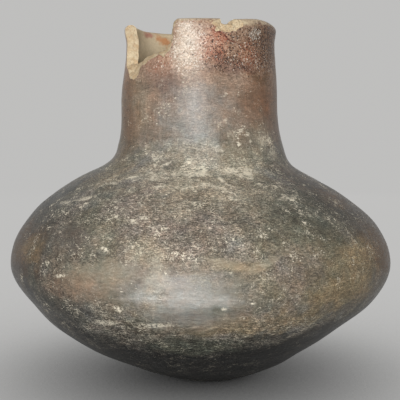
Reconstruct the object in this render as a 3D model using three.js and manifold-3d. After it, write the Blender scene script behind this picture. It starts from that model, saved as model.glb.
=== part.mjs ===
// A hand-built pottery bottle: a wide, low body, a tall open neck and a rim that has lost a sherd.
// Sizes are in millimetres and angles in degrees. +Z points up the neck, the front faces -Y, and the
// origin lies on the resting face, under the middle of the girth.
//
// The potter pats a pad of clay into a shallow dish and builds the wall on it in courses: each coil is
// flattened into a strap and lapped over the course below with a bevelled join. Every course is its own
// closed solid here, with a thin gap in each join, so the bottle comes apart into the pieces it was
// built from. The broken rim and the flake scar beside it are cut through the courses that they cross.

import * as THREE from "three";
import { mergeVertices } from "three/addons/utils/BufferGeometryUtils.js";
import Module from "manifold-3d";

// The outside outline, from the foot to the lip
const FOOT_RADIUS = 19.5;
const GIRTH_RADIUS = 95;
const GIRTH_HEIGHT = 58.7;
const SHOULDER_FOOT_RADIUS = 49.9;
const SHOULDER_RISE = 46.4;
const NECK_RADIUS = 39;
const NECK_SWEEP_RISE = 33;
const LIP_HOLLOW_RADIUS = 37.0;
const NECK_RISE = 28.4;
const LIP_RADIUS = 37.8;
const LIP_RISE = 6.3;
const LIP_CROWN = 2.6;

// How the outline's curves leave their ends: slopes from level, and how far each curve runs on
const FOOT_SLOPE = 17.4;
const FOOT_RUN = 41;
const GIRTH_RUN_BELOW = 16;
const GIRTH_RUN_ABOVE = 25.8;
const SHOULDER_SLOPE = 30;
const SHOULDER_RUN = 10.3;
const SWEEP_RUN_BELOW = 11.1;
const SWEEP_RUN_ABOVE = 13.9;
const NECK_RUN = 9.5;
const LIP_RUN = 2.1;

// Wall thickness, which thins as the wall goes up
const FOOT_WALL = 8;
const GIRTH_WALL = 6.2;
const SHOULDER_WALL = 6;
const NECK_WALL = 5.5;
const LIP_WALL = 5;

// The courses: the pad's radius, the straps' widths measured along the outside, and their joins
const PAD_RADIUS = 42;
const LOWER_WALL_COILS = 4;
const SHOULDER_COILS = 3;
const SWEEP_COIL_BELOW = 9;
const SWEEP_COIL_ABOVE = 15;
const NECK_COILS = 2;
const RIM_COIL_WIDTH = 12.2;
const JOIN_LAP = 5;
const JOIN_GAP = 0.3;

// How far each course's upper edge was laid to the right of the axis, from the foot up
const FOOT_DRIFT = 4;
const PAD_DRIFT = 2.1;
const LOWER_WALL_DRIFTS = [-1.2, -1.4, 0.8, 0.4];
const SHOULDER_DRIFTS = [0.1, -1.4, -2.2];
const SWEEP_COIL_DRIFT = 0.2;
const NECK_DRIFTS = [-0.4, 0.1];
const LIP_DRIFT = 0;

// The break where the sherd came away, as [angle, depth] pairs on the outside and on the inside of the
// wall. Angles run from the front towards +X, and depths run down from the top of the lip.
const SHERD_BREAK = [
  { outside: [-77.5, 15], inside: [-72, 14] },
  { outside: [-73.5, 19.5], inside: [-71, 18.4] },
  { outside: [-66.5, 22.5], inside: [-69, 18.9] },
  { outside: [-61, 26], inside: [-66, 19] },
  { outside: [-54, 27.2], inside: [-61, 18.5] },
  { outside: [-50.5, 25.5], inside: [-57.5, 17.9] },
  { outside: [-49, 21.8], inside: [-55, 17.2] },
  { outside: [-43, 20], inside: [-50, 16.2] },
  { outside: [-37, 18], inside: [-44, 15.5] },
  { outside: [-31, 16.5], inside: [-38, 15] },
  { outside: [-27.6, 17.8], inside: [-33.5, 14.3] },
  { outside: [-22.2, 15.4], inside: [-27.5, 12.8] },
  { outside: [-19.5, 11], inside: [-24, 9] },
  { outside: [-18.4, 4], inside: [-23.6, 4] },
  { outside: [-17, 1.4], inside: [-22, 1.4] },
  { outside: [-14.2, -0.2], inside: [-19.4, -0.2] },
];

// The small notch in the rim at the front, in the same measure
const RIM_NOTCH = [
  { outside: [13.6, -0.8], inside: [14.6, -0.8] },
  { outside: [18.8, 3], inside: [19.6, 2.6] },
  { outside: [22.4, 3], inside: [22, 2.6] },
  { outside: [29, -0.8], inside: [28, -0.8] },
];

// The shallow flake scar outside the notch
const SCAR_ANGLE = 21;
const SCAR_HALF_WIDTH = 11;
const SCAR_HEIGHT = 6.5;
const SCAR_DEPTH = 1.5;

// How finely the round forms are cut
const RING_SEGMENTS = 60;
const SECTION_STEP = 8;
const CROWN_STEPS = 6;
const SCAR_SEGMENTS = 24;
const MERGE_DISTANCE = 0.001;

// Room that a cutter needs past the surfaces that it cuts
const CUTTER_REACH = 12;

const NECK_START = GIRTH_HEIGHT + SHOULDER_RISE + NECK_SWEEP_RISE;
const LIP_EDGE = NECK_START + NECK_RISE + LIP_RISE;
const LIP_TOP = LIP_EDGE + LIP_CROWN;

const wasm = await Module();
wasm.setup();

// The outline

// A point that lies run away from another, in a direction given by its angle from level
function along(point, angle, run) {
  const turn = THREE.MathUtils.degToRad(angle);
  return new THREE.Vector2(point.x + run * Math.cos(turn), point.y + run * Math.sin(turn));
}

function makeOutline() {
  const foot = new THREE.Vector2(FOOT_RADIUS, 0);
  const girth = new THREE.Vector2(GIRTH_RADIUS, GIRTH_HEIGHT);
  const shoulderFoot = new THREE.Vector2(SHOULDER_FOOT_RADIUS, GIRTH_HEIGHT + SHOULDER_RISE);
  const neckStart = new THREE.Vector2(NECK_RADIUS, NECK_START);
  const lipHollow = new THREE.Vector2(LIP_HOLLOW_RADIUS, NECK_START + NECK_RISE);
  const lip = new THREE.Vector2(LIP_RADIUS, LIP_EDGE);
  const backDown = -SHOULDER_SLOPE;
  const onUp = 180 - SHOULDER_SLOPE;

  const outline = new THREE.CurvePath();
  const curve = (...points) => outline.add(new THREE.CubicBezierCurve(...points));
  curve(foot, along(foot, FOOT_SLOPE, FOOT_RUN), along(girth, -90, GIRTH_RUN_BELOW), girth);
  curve(girth, along(girth, 90, GIRTH_RUN_ABOVE), along(shoulderFoot, backDown, SHOULDER_RUN), shoulderFoot);
  curve(shoulderFoot, along(shoulderFoot, onUp, SWEEP_RUN_BELOW), along(neckStart, -90, SWEEP_RUN_ABOVE), neckStart);
  curve(neckStart, along(neckStart, 90, NECK_RUN), along(lipHollow, -90, NECK_RUN), lipHollow);
  curve(lipHollow, along(lipHollow, 90, LIP_RUN), along(lip, -90, LIP_RUN), lip);
  return outline;
}

const outline = makeOutline();

// Distances along the outline, from the foot, at which its curves end
const [GIRTH_AT, SHOULDER_FOOT_AT, NECK_AT, , LIP_AT] = outline.getCurveLengths();

function outsidePoint(distance) {
  return outline.getPoint(distance / LIP_AT);
}

// The value at one distance between named stations, running straight from each to the next
function between(stations, distance) {
  const next = stations.findIndex(([at]) => at >= distance);
  if (next === 0) return stations[0][1];
  if (next < 0) return stations.at(-1)[1];
  const [fromAt, from] = stations[next - 1];
  const [toAt, to] = stations[next];
  return THREE.MathUtils.mapLinear(distance, fromAt, toAt, from, to);
}

function wallAt(distance) {
  const stations = [
    [0, FOOT_WALL],
    [GIRTH_AT, GIRTH_WALL],
    [SHOULDER_FOOT_AT, SHOULDER_WALL],
    [NECK_AT, NECK_WALL],
    [LIP_AT, LIP_WALL],
  ];
  return between(stations, distance);
}

// The inside of the wall, square in from the outside by the wall's thickness
function insidePoint(distance) {
  const along = outline.getTangent(distance / LIP_AT);
  const inward = new THREE.Vector2(-along.y, along.x);
  return outsidePoint(distance).addScaledVector(inward, wallAt(distance));
}

// Distance along the lower wall at which it reaches a radius
function distanceAtRadius(radius) {
  let near = 0;
  let far = GIRTH_AT;
  while (far - near > MERGE_DISTANCE) {
    const middle = (near + far) / 2;
    if (outsidePoint(middle).x < radius) near = middle;
    else far = middle;
  }
  return near;
}

// The courses

// The joins between two distances that are shared out evenly by a number of coils
function evenJoins(from, to, coils) {
  return Array.from({ length: coils }, (_, coil) => from + ((coil + 1) * (to - from)) / coils);
}

// Each course from the base up, with the distance of its upper edge and how far that edge drifts
function makeCourses() {
  const padEdge = distanceAtRadius(PAD_RADIUS);
  const sweepLow = SHOULDER_FOOT_AT - SWEEP_COIL_BELOW;
  const sweepHigh = SHOULDER_FOOT_AT + SWEEP_COIL_ABOVE;
  const rimLow = LIP_AT - RIM_COIL_WIDTH;

  const numbered = (name, joins, drifts, colour) =>
    joins.map((end, coil) => ({ name: `${name}_${coil + 1}`, end, drift: drifts[coil] ?? 0, colour }));

  return [
    { name: "base_pad", end: padEdge, drift: PAD_DRIFT, colour: "#3b342f" },
    ...numbered("lower_wall_coil", evenJoins(padEdge, GIRTH_AT, LOWER_WALL_COILS), LOWER_WALL_DRIFTS, "#4d453e"),
    ...numbered("shoulder_coil", evenJoins(GIRTH_AT, sweepLow, SHOULDER_COILS), SHOULDER_DRIFTS, "#5a5148"),
    { name: "neck_foot_coil", end: sweepHigh, drift: SWEEP_COIL_DRIFT, colour: "#6a5b50" },
    ...numbered("neck_coil", evenJoins(sweepHigh, rimLow, NECK_COILS), NECK_DRIFTS, "#7b6557"),
    { name: "rim_coil", end: LIP_AT, drift: LIP_DRIFT, colour: "#8e7667" },
  ];
}

const courses = makeCourses();

// How far the wall's centre lies to the right of the axis at one height
function driftAt(height) {
  let from = { height: 0, drift: FOOT_DRIFT };
  for (const course of courses) {
    const to = { height: outsidePoint(course.end).y, drift: course.drift };
    if (height <= to.height) {
      const share = THREE.MathUtils.smoothstep(height, from.height, to.height);
      return THREE.MathUtils.lerp(from.drift, to.drift, share);
    }
    from = to;
  }
  return from.drift;
}

function distancesBetween(from, to) {
  const steps = Math.max(2, Math.ceil(Math.abs(to - from) / SECTION_STEP));
  return Array.from({ length: steps + 1 }, (_, step) => THREE.MathUtils.lerp(from, to, step / steps));
}

// Half of a join's gap, measured along the wall because the join's face is bevelled
function halfGapAt(join) {
  const wall = wallAt(join);
  return (JOIN_GAP * Math.hypot(wall, JOIN_LAP)) / wall / 2;
}

// The closed section of one course: up the outside, across the upper join or over the lip, down the
// inside and back across the lower join. The pad's section starts and ends on the axis instead.
function courseSection(start, end) {
  const isPad = start === 0;
  const isRim = end === LIP_AT;
  const low = isPad ? 0 : start + halfGapAt(start);
  const high = isRim ? end : end - halfGapAt(end);
  const insideLow = isPad ? 0 : low + JOIN_LAP;
  const insideHigh = isRim ? end : high + JOIN_LAP;

  const outside = distancesBetween(low, high).map(outsidePoint);
  const inside = distancesBetween(insideHigh, insideLow).map(insidePoint);
  const crown = isRim ? crownPoints(outside.at(-1), inside[0]) : [];
  if (isPad) {
    return [new THREE.Vector2(0, 0), ...outside, ...inside, new THREE.Vector2(0, inside.at(-1).y)];
  }
  return [...outside, ...crown, ...inside, outside[0]];
}

// The rounded top of the lip, between the outside edge and the inside edge
function crownPoints(outer, inner) {
  const middle = (outer.x + inner.x) / 2;
  const half = (outer.x - inner.x) / 2;
  return Array.from({ length: CROWN_STEPS - 1 }, (_, step) => {
    const turn = ((step + 1) * Math.PI) / CROWN_STEPS;
    return new THREE.Vector2(middle + half * Math.cos(turn), outer.y + LIP_CROWN * Math.sin(turn));
  });
}

// Moves every point sideways by the drift at its height, so each ring is centred where it was laid
function drifted(geometry) {
  const position = geometry.attributes.position;
  for (let point = 0; point < position.count; point += 1) {
    position.setX(point, position.getX(point) + driftAt(position.getZ(point)));
  }
  return geometry;
}

function courseGeometry(start, end) {
  const ring = new THREE.LatheGeometry(courseSection(start, end), RING_SEGMENTS);
  return drifted(ring.rotateX(Math.PI / 2));
}

// The broken rim

// A point of the neck at an angle from the front, a radius and a depth below the lip's top
function neckPoint(angle, radius, depth) {
  const turn = THREE.MathUtils.degToRad(angle);
  return new THREE.Vector3(radius * Math.sin(turn), -radius * Math.cos(turn), LIP_TOP - depth);
}

// A solid that takes away all of the neck above a broken edge. The edge's outside and inside points
// lie on the two faces of the wall. The break runs on past the outside face in the same direction, and
// past the inside face straight into the bore.
function breakCutter(edge) {
  const first = edge[0];
  const last = edge.at(-1);
  const raised = ({ outside, inside }) => ({
    outside: [outside[0], -CUTTER_REACH],
    inside: [inside[0], -CUTTER_REACH],
  });
  const stations = [raised(first), ...edge, raised(last)];

  const outer = LIP_RADIUS;
  const inner = LIP_RADIUS - NECK_WALL;
  const layers = [
    { radius: inner - CUTTER_REACH, share: 0 },
    { radius: inner, share: 0 },
    { radius: outer, share: 1 },
    { radius: outer + CUTTER_REACH, share: 2 },
  ];
  const flat = layers.map(({ share }) =>
    stations.map(({ outside, inside }) => new THREE.Vector2(
      THREE.MathUtils.lerp(inside[0], outside[0], share),
      THREE.MathUtils.lerp(inside[1], outside[1], share),
    )),
  );
  const points = flat.flatMap((layer, index) =>
    layer.map(({ x: angle, y: depth }) => neckPoint(angle, layers[index].radius, depth)),
  );

  const count = stations.length;
  const faces = [];
  for (let layer = 0; layer < layers.length - 1; layer += 1) {
    for (let station = 0; station < count; station += 1) {
      const next = (station + 1) % count;
      const a = layer * count + station;
      const b = layer * count + next;
      faces.push(a, b, b + count, a, b + count, a + count);
    }
  }
  const lastLayer = (layers.length - 1) * count;
  for (const [a, b, c] of THREE.ShapeUtils.triangulateShape(flat[0], [])) faces.push(a, b, c);
  for (const [a, b, c] of THREE.ShapeUtils.triangulateShape(flat.at(-1), [])) {
    faces.push(lastLayer + a, lastLayer + c, lastLayer + b);
  }
  const cutter = new THREE.BufferGeometry().setFromPoints(points);
  cutter.setIndex(faces);
  return cutter;
}

// A flattened ball that scoops the flake scar out of the lip's outside
function scarCutter() {
  const radial = 3 * SCAR_DEPTH;
  const share = Math.sqrt(1 - ((radial - SCAR_DEPTH) / radial) ** 2);
  const scoop = new THREE.SphereGeometry(1, SCAR_SEGMENTS, SCAR_SEGMENTS);
  scoop.scale(SCAR_HALF_WIDTH / share, radial, SCAR_HEIGHT / share);
  scoop.rotateZ(THREE.MathUtils.degToRad(SCAR_ANGLE));
  const centre = neckPoint(SCAR_ANGLE, LIP_RADIUS + radial - SCAR_DEPTH, 0);
  return scoop.translate(centre.x, centre.y, centre.z);
}

// Joining and cutting

function toSolid(geometry) {
  const bare = geometry.clone();
  bare.deleteAttribute("normal");
  bare.deleteAttribute("uv");
  const merged = mergeVertices(bare, MERGE_DISTANCE);
  const corners = [];
  for (let face = 0; face < merged.index.count; face += 3) {
    const [a, b, c] = merged.index.array.slice(face, face + 3);
    if (a !== b && b !== c && c !== a) corners.push(a, b, c);
  }
  return new wasm.Manifold(new wasm.Mesh({
    numProp: 3,
    vertProperties: new Float32Array(merged.attributes.position.array),
    triVerts: new Uint32Array(corners),
  }));
}

function fromSolid(solid) {
  const mesh = solid.getMesh();
  const geometry = new THREE.BufferGeometry();
  geometry.setAttribute("position", new THREE.BufferAttribute(mesh.vertProperties, 3));
  geometry.setIndex(new THREE.BufferAttribute(mesh.triVerts, 1));
  geometry.computeVertexNormals();
  return geometry;
}

const rimDamage = [drifted(breakCutter(SHERD_BREAK)), drifted(breakCutter(RIM_NOTCH)), scarCutter()];

function cutByDamage(geometry) {
  let solid = toSolid(geometry);
  for (const cutter of rimDamage) solid = solid.subtract(toSolid(cutter));
  return fromSolid(solid);
}

// The assembly

function clay(colour) {
  return new THREE.MeshStandardMaterial({ color: colour, roughness: 0.55, metalness: 0 });
}

// The lowest height, on the outside of the neck, that the damage reaches
const damageFoot = LIP_TOP - Math.max(...SHERD_BREAK.map(({ outside }) => outside[1]));

function makeCourse(course, start) {
  const whole = courseGeometry(start, course.end);
  const isDamaged = outsidePoint(course.end).y > damageFoot;
  const mesh = new THREE.Mesh(isDamaged ? cutByDamage(whole) : whole, clay(course.colour));
  mesh.name = course.name;
  return mesh;
}

const bottle = new THREE.Group();
bottle.name = "pottery_bottle";
let start = 0;
for (const course of courses) {
  bottle.add(makeCourse(course, start));
  start = course.end;
}

export default bottle;
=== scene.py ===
"""The looks of a hand-built pottery bottle: burnished, worn and fire-clouded clay with a broken rim.

Each course of the wall is laid by a Geometry Nodes tree that turns its section round the axis, so the
courses meet edge to edge and the burnished skin runs on over their joins. The break in the rim is then
cut through the two courses that it crosses, and the bare clay shows on the cut.
"""
import math

import bmesh
import bpy
import numpy as np
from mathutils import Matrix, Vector, noise
from mathutils.geometry import tessellate_polygon


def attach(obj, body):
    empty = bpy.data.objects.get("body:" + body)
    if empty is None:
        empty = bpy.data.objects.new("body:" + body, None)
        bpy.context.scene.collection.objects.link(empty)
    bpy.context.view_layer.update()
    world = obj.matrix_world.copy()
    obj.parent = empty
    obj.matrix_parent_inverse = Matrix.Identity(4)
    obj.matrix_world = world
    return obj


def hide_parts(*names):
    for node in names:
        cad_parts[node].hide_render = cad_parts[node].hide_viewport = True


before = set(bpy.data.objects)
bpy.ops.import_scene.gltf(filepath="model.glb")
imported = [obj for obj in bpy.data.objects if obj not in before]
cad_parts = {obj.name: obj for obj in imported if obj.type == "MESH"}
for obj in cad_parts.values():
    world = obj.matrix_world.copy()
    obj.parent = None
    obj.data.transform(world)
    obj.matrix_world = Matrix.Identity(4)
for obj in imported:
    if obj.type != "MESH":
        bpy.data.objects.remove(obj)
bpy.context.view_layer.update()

MM = 0.001

# The outline's driving sizes, in millimetres and degrees, as the frame has them
FOOT_RADIUS = 19.5
GIRTH_RADIUS = 95
GIRTH_HEIGHT = 58.7
SHOULDER_FOOT_RADIUS = 49.9
SHOULDER_RISE = 46.4
NECK_RADIUS = 39
NECK_SWEEP_RISE = 33
LIP_HOLLOW_RADIUS = 37
NECK_RISE = 28.4
LIP_RADIUS = 37.8
LIP_RISE = 6.3
LIP_CROWN = 2.6
FOOT_SLOPE = 17.4
FOOT_RUN = 41
GIRTH_RUN_BELOW = 16
GIRTH_RUN_ABOVE = 25.8
SHOULDER_SLOPE = 30
SHOULDER_RUN = 10.3
SWEEP_RUN_BELOW = 11.1
SWEEP_RUN_ABOVE = 13.9
NECK_RUN = 9.5
LIP_RUN = 2.1
FOOT_WALL = 8
GIRTH_WALL = 6.2
SHOULDER_WALL = 6
NECK_WALL = 5.5
LIP_WALL = 5
PAD_RADIUS = 42
LOWER_WALL_COILS = 4
SHOULDER_COILS = 3
NECK_COILS = 2
SWEEP_COIL_BELOW = 9
SWEEP_COIL_ABOVE = 15
RIM_COIL_WIDTH = 12.2
JOIN_LAP = 5

# How far each course's upper edge lies to the right of the axis, from the foot up
FOOT_DRIFT = 4
COURSE_DRIFTS = (2.1, -1.2, -1.4, 0.8, 0.4, 0.1, -1.4, -2.2, 0.2, -0.4, 0.1, 0)

SHOULDER_HEIGHT = GIRTH_HEIGHT + SHOULDER_RISE
NECK_START = SHOULDER_HEIGHT + NECK_SWEEP_RISE
LIP_EDGE = NECK_START + NECK_RISE + LIP_RISE
LIP_TOP = LIP_EDGE + LIP_CROWN

# How finely the skin is laid
CURVE_STEPS = 400
RING_STEPS = 720
OUTSIDE_STEP = 0.7
INSIDE_STEP = 1.6
CROWN_STEPS = 14
JOIN_STEPS = 3
FLAT_STEPS = 12
LEAST_STEPS = 3
MERGE_REACH = 0.002

# Below the first height the wall keeps its shape, so that it rests flat, and then gives more and more
STILL_HEIGHT = 0.05
GIVE_RISE = 4


def along(point, angle, run):
    """The point that lies run away, in a direction given by its angle from level."""
    turn = math.radians(angle)
    return np.array([point[0] + run * math.cos(turn), point[1] + run * math.sin(turn)])


def curve(low, high):
    """The curve of the wall between two knots of the outline."""
    a, d = np.array(low[:2]), np.array(high[:2])
    b = along(a, low[2], low[4])
    c = along(d, high[2] - 180, high[3])
    t = np.linspace(0, 1, CURVE_STEPS)[:, None]
    return (1 - t) ** 3 * a + 3 * (1 - t) ** 2 * t * b + 3 * (1 - t) * t**2 * c + t**3 * d


UPRIGHT = 90
# The knots of the outline: radius, height, the way up the wall as an angle from level, and how far the
# curves below and above run along that way
KNOTS = (
    (FOOT_RADIUS, 0, FOOT_SLOPE, 0, FOOT_RUN),
    (GIRTH_RADIUS, GIRTH_HEIGHT, UPRIGHT, GIRTH_RUN_BELOW, GIRTH_RUN_ABOVE),
    (SHOULDER_FOOT_RADIUS, SHOULDER_HEIGHT, 180 - SHOULDER_SLOPE, SHOULDER_RUN, SWEEP_RUN_BELOW),
    (NECK_RADIUS, NECK_START, UPRIGHT, SWEEP_RUN_ABOVE, NECK_RUN),
    (LIP_HOLLOW_RADIUS, NECK_START + NECK_RISE, UPRIGHT, NECK_RUN, LIP_RUN),
    (LIP_RADIUS, LIP_EDGE, UPRIGHT, LIP_RUN, 0),
)


class Outline:
    """The outside of the wall from the foot to the lip, measured by distance along it."""

    def __init__(self):
        curves = [curve(low, high) for low, high in zip(KNOTS, KNOTS[1:])]
        self.points = np.vstack([curves[0]] + [points[1:] for points in curves[1:]])
        steps = np.hypot(*np.diff(self.points, axis=0).T)
        self.at = np.concatenate([[0], np.cumsum(steps)])
        slopes = np.gradient(self.points, self.at, axis=0)
        self.slopes = slopes / np.linalg.norm(slopes, axis=1)[:, None]
        ends = np.arange(len(KNOTS)) * (CURVE_STEPS - 1)
        self.foot, self.girth, self.shoulder, self.neck, _, self.lip = self.at[ends]
        self.walls = (
            (self.foot, self.girth, self.shoulder, self.neck, self.lip),
            (FOOT_WALL, GIRTH_WALL, SHOULDER_WALL, NECK_WALL, LIP_WALL),
        )

    def pairs_at(self, at, pairs):
        """What some pairs of values, one for each point of the outline, come to at some distances."""
        return np.column_stack([np.interp(at, self.at, pairs[:, k]) for k in (0, 1)])

    def outside(self, at):
        return self.pairs_at(at, self.points)

    def outward(self, at):
        """The direction square out of the wall."""
        slope = self.pairs_at(at, self.slopes)
        return np.column_stack([slope[:, 1], -slope[:, 0]]) / np.linalg.norm(slope, axis=1)[:, None]

    def inside(self, at):
        return self.outside(at) - self.outward(at) * np.interp(at, *self.walls)[:, None]

    def at_radius(self, radius):
        lower = self.at <= self.girth
        return float(np.interp(radius, self.points[lower, 0], self.at[lower]))


outline = Outline()


def course_joins():
    """Each course's name with the distances of its lower and upper edges."""
    groups = (
        ("base_pad", 1, outline.at_radius(PAD_RADIUS)),
        ("lower_wall_coil_{}", LOWER_WALL_COILS, outline.girth),
        ("shoulder_coil_{}", SHOULDER_COILS, outline.shoulder - SWEEP_COIL_BELOW),
        ("neck_foot_coil", 1, outline.shoulder + SWEEP_COIL_ABOVE),
        ("neck_coil_{}", NECK_COILS, outline.lip - RIM_COIL_WIDTH),
        ("rim_coil", 1, outline.lip),
    )
    joins = []
    low = 0
    for name, count, high in groups:
        edges = np.linspace(low, high, count + 1)
        joins += [(name.format(n + 1), edges[n], edges[n + 1]) for n in range(count)]
        low = high
    return joins


COURSES = course_joins()
DRIFT_HEIGHTS = np.concatenate([[0], [outline.outside([high])[0, 1] for _, _, high in COURSES]])
DRIFTS = np.array((FOOT_DRIFT,) + COURSE_DRIFTS, float)


def drift_at(height):
    """How far the wall's centre lies to the right of the axis at some heights."""
    height = np.clip(height, DRIFT_HEIGHTS[0], DRIFT_HEIGHTS[-1])
    above = np.clip(np.searchsorted(DRIFT_HEIGHTS, height), 1, len(DRIFTS) - 1)
    low, high = DRIFT_HEIGHTS[above - 1], DRIFT_HEIGHTS[above]
    share = (height - low) / (high - low)
    share = share**2 * (3 - 2 * share)
    return DRIFTS[above - 1] * (1 - share) + DRIFTS[above] * share


# The middle of the range of a noise
NOISE_MIDDLE = 0.5


class Steps:
    """Adds nodes to a tree and links them, and gives back the socket that each step ends in."""

    def __init__(self, tree):
        self.tree = tree

    def add(self, kind, inputs=(), out=0, **settings):
        node = self.tree.nodes.new(kind)
        for name, value in settings.items():
            setattr(node, name, value)
        pairs = inputs.items() if isinstance(inputs, dict) else enumerate(inputs)
        for key, value in pairs:
            if isinstance(value, bpy.types.NodeSocket):
                self.tree.links.new(value, node.inputs[key])
            else:
                node.inputs[key].default_value = value
        return node.outputs[out]

    def math(self, operation, *values, clamp=False):
        return self.add("ShaderNodeMath", values, operation=operation, use_clamp=clamp)

    def chain(self, operation, values):
        """Works through several values from the first on."""
        result = values[0]
        for value in values[1:]:
            result = self.math(operation, result, value)
        return result

    def plus(self, *values):
        return self.chain("ADD", values)

    def times(self, *values):
        return self.chain("MULTIPLY", values)

    def most(self, *values):
        return self.chain("MAXIMUM", values)

    def minus(self, value, less):
        return self.math("SUBTRACT", value, less)

    def swing(self, value, amount):
        """How far a noise is above or below its middle, made larger by an amount."""
        return self.times(self.minus(value, NOISE_MIDDLE), amount)

    def doublings(self, value):
        """How much brighter something gets when it doubles a number of times."""
        return self.math("POWER", 2.0, value)

    def vector(self, operation, *values):
        return self.add("ShaderNodeVectorMath", values, operation=operation)

    def scaled(self, vector, scale):
        return self.add("ShaderNodeVectorMath", {0: vector, "Scale": scale}, operation="SCALE")

    def combine(self, x=0.0, y=0.0, z=0.0):
        return self.add("ShaderNodeCombineXYZ", (x, y, z))

    def split(self, vector):
        node = self.add("ShaderNodeSeparateXYZ", (vector,)).node
        return node.outputs[0], node.outputs[1], node.outputs[2]

    def span(self, value, low, high, to_low=0.0, to_high=1.0, smooth=True):
        """Maps a value from one range to another and holds it there."""
        kind = "SMOOTHSTEP" if smooth else "LINEAR"
        inputs = (value, low, high, to_low, to_high)
        return self.add("ShaderNodeMapRange", inputs, interpolation_type=kind)

    def noise(self, vector, scale, detail=2.0, roughness=0.5, out="Fac"):
        inputs = {"Vector": vector, "Scale": scale, "Detail": detail, "Roughness": roughness}
        return self.add("ShaderNodeTexNoise", inputs, out=out)

    def cells(self, vector, scale, out):
        return self.add("ShaderNodeTexVoronoi", {"Vector": vector, "Scale": scale}, out=out)

    def blend(self, share, under, over):
        """Mixes two colours. A mixing node keeps those of its colours in sockets 6 and 7."""
        inputs = {0: share, 6: under, 7: over}
        return self.add("ShaderNodeMix", inputs, out=2, data_type="RGBA", clamp_factor=True)

    def shade(self, colour, brightness):
        """Makes a colour brighter or darker."""
        return self.vector("MULTIPLY", colour, self.combine(brightness, brightness, brightness))


def paint(code):
    """A colour from its hex code, in the linear values that sockets hold."""
    parts = [int(code[k:k + 2], 16) / 255 for k in (1, 3, 5)]
    linear = [c / 12.92 if c <= 0.04045 else ((c + 0.055) / 1.055) ** 2.4 for c in parts]
    return (*linear, 1.0)


# The unevenness of the wall: how deep each kind goes, how many waves there are in a metre, and the detail
# and roughness of its noise. Strokes and wiping are drawn out round the pot.
UNEVENNESS = {
    "Swell": (0.5 * MM, 16.0, 1.0, 0.5),
    "Stroke depth": (0.1 * MM, (14.0, 14.0, 150.0), 2.0, 0.6),
    "Lump depth": (0.07 * MM, 260.0, 2.0, 0.6),
    "Wipe depth": (0.35 * MM, (25.0, 25.0, 240.0), 1.0, 0.5),
}
# A face with a smaller share of outside skin than this belongs to the inside
INSIDE_SHARE = 0.45


def section_points(low, high):
    """One course's closed section, point by point: place, way out of the clay, share of outside skin and
    distance along the outline. A point in a join has no way out, so it stays where it is."""
    is_pad = low == 0
    is_rim = high == outline.lip
    inside_low = 0.0 if is_pad else low + JOIN_LAP
    inside_high = high if is_rim else high + JOIN_LAP
    outer_steps = max(LEAST_STEPS, round((high - low) / OUTSIDE_STEP))
    inner_steps = max(LEAST_STEPS, round((inside_high - inside_low) / INSIDE_STEP))
    outer_at = np.linspace(low, high, outer_steps + 1)
    inner_at = np.linspace(inside_high, inside_low, inner_steps + 1)
    outer, inner = outline.outside(outer_at), outline.inside(inner_at)
    rows = [(outer, outline.outward(outer_at), np.ones(len(outer)), outer_at)]
    if is_rim:
        turn = np.linspace(0, math.pi, CROWN_STEPS + 1)[1:-1]
        middle = (outer[-1, 0] + inner[0, 0]) / 2
        half = (outer[-1, 0] - inner[0, 0]) / 2
        crown = np.column_stack([middle + half * np.cos(turn), outer[-1, 1] + LIP_CROWN * np.sin(turn)])
        crown_way = np.column_stack([np.cos(turn), np.sin(turn)])
        rows.append((crown, crown_way, (1 + np.cos(turn)) / 2, high + LIP_CROWN * turn))
    else:
        rows.append(join_face(outer[-1], inner[0], high))
    rows.append((inner, -outline.outward(inner_at), np.zeros(len(inner)), inner_at))
    if is_pad:
        radii = np.linspace(0, FOOT_RADIUS, FLAT_STEPS)[:-1]
        rows.insert(0, level_row(radii, 0.0, -1.0, 1.0, radii - FOOT_RADIUS))
        radii = np.linspace(inner[-1, 0], 0, FLAT_STEPS)[1:]
        rows.append(level_row(radii, inner[-1, 1], 1.0, 0.0, radii))
    else:
        rows.append(join_face(inner[-1], outer[0], low))
    return [np.concatenate(parts) for parts in zip(*rows)]


def level_row(radii, height, way, skin, runs):
    """The points of a flat stretch of the pad, under the pot or on its floor."""
    places = np.column_stack([radii, np.full_like(radii, height)])
    return places, np.tile([0.0, way], (len(radii), 1)), np.full(len(radii), skin), runs


def join_face(start, end, at):
    """The points strictly between two corners of a join."""
    share = np.linspace(0, 1, JOIN_STEPS + 2)[1:-1, None]
    places = start * (1 - share) + end * share
    return places, np.zeros_like(places), np.full(len(places), 0.5), np.full(len(places), at)


def new_object(name, data):
    """A mesh, a lamp or a camera as an object of the scene."""
    result = bpy.data.objects.new(name, data)
    bpy.context.scene.collection.objects.link(result)
    return result


def section_object(name, low, high):
    """The section as a string of vertices that carry what the tree needs."""
    places, ways, skins, runs = section_points(low, high)
    mesh = bpy.data.meshes.new(name)
    level = np.zeros(len(places))
    flat = np.column_stack([places[:, 0], level, places[:, 1]]) * MM
    mesh.from_pydata(flat.tolist(), [], [])
    way = mesh.attributes.new("way", "FLOAT_VECTOR", "POINT")
    way.data.foreach_set("vector", np.column_stack([ways[:, 0], level, ways[:, 1]]).ravel())
    give = np.clip((places[:, 1] - STILL_HEIGHT) / GIVE_RISE, 0, 1)
    drifts = drift_at(places[:, 1])
    for key, values in (("skin", skins), ("give", give), ("drift", drifts * MM), ("run", runs * MM)):
        layer = mesh.attributes.new(key, "FLOAT", "POINT")
        layer.data.foreach_set("value", values.astype(np.float32))
    return new_object(name, mesh)


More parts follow.
